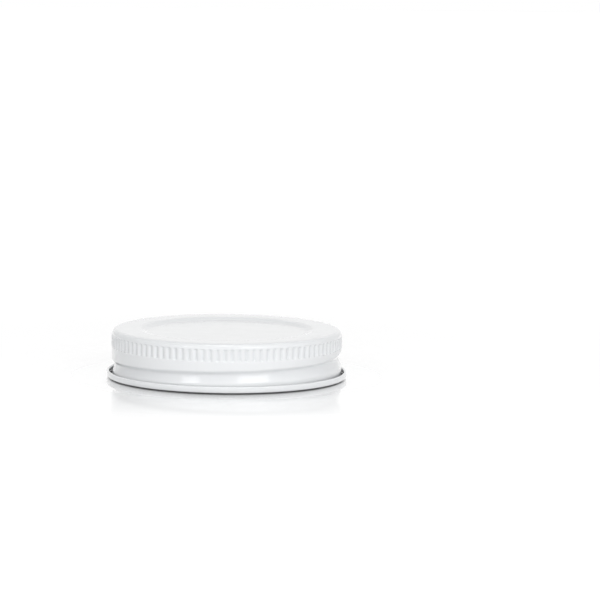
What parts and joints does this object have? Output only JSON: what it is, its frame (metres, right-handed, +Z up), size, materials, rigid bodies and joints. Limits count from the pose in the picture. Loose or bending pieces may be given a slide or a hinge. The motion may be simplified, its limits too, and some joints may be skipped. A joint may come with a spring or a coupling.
{
  "type": "screw cap",
  "caption": "Low white enamelled sheet-metal screw cap with knurled shoulder, rolled thread, curled foot and poured sealing ring, to close a wide-mouth jar.",
  "frame": {"origin": "centre of the circle that the curled foot stands on, at the table", "axes": "+Z up along the cap's axis, out of its top; -Y is the front, where the thread is at the middle of its climb"},
  "size_m": [0.0736, 0.0736, 0.0148],
  "materials": {
    "enamelled_sheet": "gloss white enamel on tinplate",
    "seal_compound": "matt, soft, slightly warm white"
  },
  "bodies": {
    "root": {"cap_shell": "enamelled_sheet", "sealing_ring": "seal_compound"}
  },
  "joints": []
}
